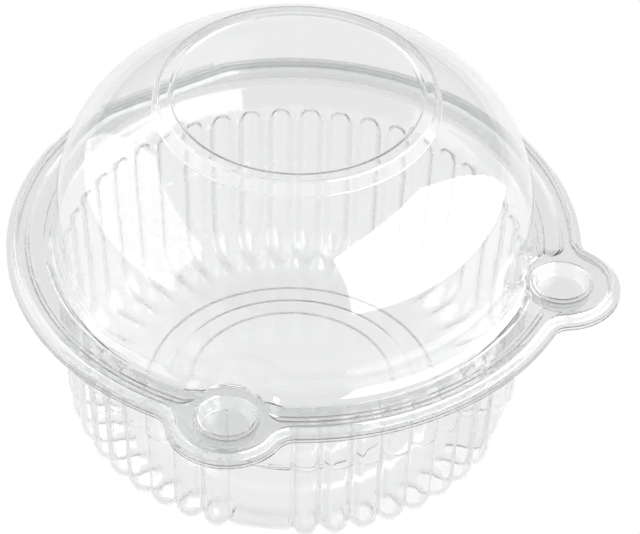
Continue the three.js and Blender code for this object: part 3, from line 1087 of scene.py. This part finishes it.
lid = SheetBuilder()
top = RIM_HEIGHT + DOME_HEIGHT
crown_top = RIM_HEIGHT + float(dome_height(TOP_STEP_RADIUS))
step_end = TOP_STEP_RADIUS + STEP_MARGIN
disc = rounded([
    (DISC_CENTRE_RING, top - TOP_RECESS_DEPTH, 0),
    (TOP_RECESS_RADIUS, top - TOP_RECESS_DEPTH, RECESS_ROUNDING),
    (TOP_RECESS_RADIUS + RECESS_RUN, top, RECESS_EDGE_ROUNDING),
    (TOP_DISC_RADIUS, top, DISC_ROUNDING),
    (TOP_STEP_RADIUS - STEP_TUCK, crown_top, STEP_ROUNDING),
    (step_end, RIM_HEIGHT + float(dome_height(step_end)), 0),
])
disc_first, disc_last = lid.section(rim_angles, disc)
lid.pole(disc_first, top - TOP_RECESS_DEPTH)
print("disc has", len(disc), "rings")

# %% Build the dome
DOME_RINGS = 26
DOME_FIRST_LEAN = math.radians(66)
DOME_MARGIN = 1.8
FLARE_SHARES = (1, 0.75, 0.55, 0.4, 0.28, 0.18)

crown_rings = []
for lean in np.linspace(DOME_FIRST_LEAN, 0, DOME_RINGS):
    height = DOME_CROWN * math.sin(lean) ** (2 / DOME_POWER)
    radius = dome_radius(height)
    if height > DOME_FLARE_HEIGHT and radius > TOP_STEP_RADIUS + DOME_MARGIN:
        crown_rings.append((radius, RIM_HEIGHT + height))
# Near its foot, the dome gives way to the bays round the buttons.
for share in FLARE_SHARES:
    height = DOME_FLARE_HEIGHT * share
    bay = bead_inner(rim_angles, -CLEARANCE + height * BAY_LEAN)
    crown_rings.append((
        np.minimum(dome_radius(height), bay),
        RIM_HEIGHT + height - (BEAD_HEIGHT - lift) * (1 - share),
    ))
dome_first, dome_last = lid.section(rim_angles, crown_rings)
lid.strip(disc_last, dome_first)
print("dome has", len(crown_rings), "rings")

# %% Build the lid's rim
LID_BUTTON_STEEPER = 0.8
FLARE_END_RUN = 0.15
FLARE_END_RISE = 0.35
LID_BEAD_ROUNDING = 0.4
LID_SKIRT_EDGE = 0.75
LID_SKIRT_ROUNDING = 0.6

flange_top = RIM_HEIGHT - BEAD_HEIGHT + lift
dome_foot = np.minimum(DOME_FOOT_RADIUS, bead_inner(rim_angles, -CLEARANCE))
slope = BEAD_SLOPE * (1 - LID_BUTTON_STEEPER * lift / BEAD_HEIGHT)
level = np.full_like(rim_angles, RIM_HEIGHT)
inner_run = rounded([
    (dome_foot - FLARE_END_RUN, flange_top + FLARE_END_RISE, 0),
    (dome_foot, flange_top, FLANGE_ROUNDING),
    (bead_inner(rim_angles, -slope), flange_top, FLANGE_ROUNDING),
    (bead_inner(rim_angles, 0), level, LID_BEAD_ROUNDING),
    (bead_inner(rim_angles, 0) + BEAD_FLAT, level, 0),
])
rim_first, rim_inner = lid.section(rim_angles, inner_run)
lid.strip(dome_last, rim_first)
outer_run = rounded([
    (outline(rim_angles, -LID_SKIRT_EDGE), level, 0),
    (outline(rim_angles, 0), level, LID_SKIRT_ROUNDING),
    (outline(rim_angles, SKIRT_FLARE), level - LIP_DROP, LIP_ROUNDING),
    (lip_edge(rim_angles), level - LIP_DROP, 0),
])
rim_outer, _ = lid.section(rim_angles, outer_run)
lid.patch(rim_inner, rim_outer, button_pocket(lid, RIM_HEIGHT, BUTTON_RADIUS))
lid_sheet = formed_sheet("lid_sheet", lid, lid_plastic)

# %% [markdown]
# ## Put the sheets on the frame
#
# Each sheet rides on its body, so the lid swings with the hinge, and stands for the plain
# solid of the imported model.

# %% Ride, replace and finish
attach(cup_sheet, "base")
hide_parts("base_tray")
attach(lid_sheet, "lid")
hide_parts("lid_dome")
